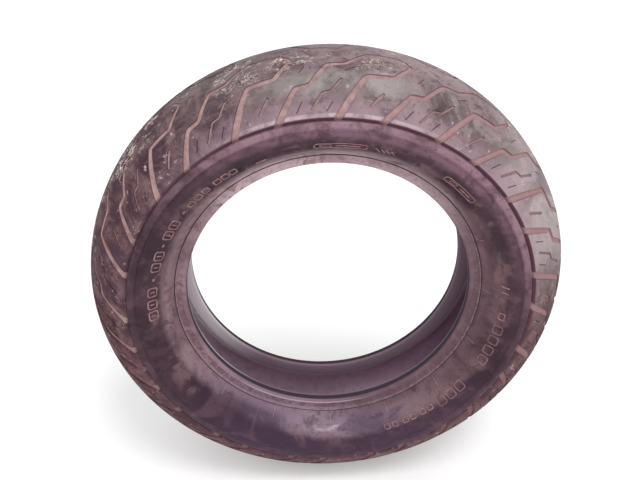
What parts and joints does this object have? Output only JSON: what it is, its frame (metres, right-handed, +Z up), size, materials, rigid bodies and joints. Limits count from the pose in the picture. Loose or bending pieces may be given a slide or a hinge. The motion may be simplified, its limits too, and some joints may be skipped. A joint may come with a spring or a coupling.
{
  "type": "motorcycle tire",
  "caption": "Wide rear motorcycle tire for a 15 inch rim: bias-ply tubeless casing with grooved tread, wire beads and moulded sidewalls.",
  "frame": {"origin": "centre of the tire: on the spin axis, midway between the two beads", "axes": "+Y along the spin axis, out of the left side; +Z up, as the tire stands on its tread; +X to the right, seen from the right side (-Y)"},
  "size_m": [0.6419, 0.177, 0.642],
  "materials": {
    "tread_rubber": "worn, scuffed, dusty, with dried mud in the grooves",
    "sidewall_rubber": "dull, weathered, slightly polished on the ribs",
    "rim_strip_rubber": "polished by the rim, satin",
    "liner_rubber": "dull, with faint moulding lines",
    "base_rubber": "dull",
    "filler_rubber": "hard, dull",
    "breaker_cord": "rubbered nylon cord",
    "carcass_cord": "rubbered nylon cord",
    "chafer_fabric": "rubbered woven nylon",
    "bead_wire": "bronze-plated steel wire"
  },
  "bodies": {
    "root": {"tread_cap": "tread_rubber", "tread_base": "base_rubber", "breaker_outer": "breaker_cord", "breaker_inner": "breaker_cord", "ply_outer": "carcass_cord", "ply_inner": "carcass_cord", "inner_liner": "liner_rubber", "sidewall_right": "sidewall_rubber", "sidewall_left": "sidewall_rubber", "rim_strip_right": "rim_strip_rubber", "rim_strip_left": "rim_strip_rubber", "chafer_right": "chafer_fabric", "chafer_left": "chafer_fabric", "flipper_right": "chafer_fabric", "flipper_left": "chafer_fabric", "bead_filler_right": "filler_rubber", "bead_filler_left": "filler_rubber", "bead_insulation_right": "filler_rubber", "bead_insulation_left": "filler_rubber", "bead_wires_right": "bead_wire", "bead_wires_left": "bead_wire"}
  },
  "joints": []
}
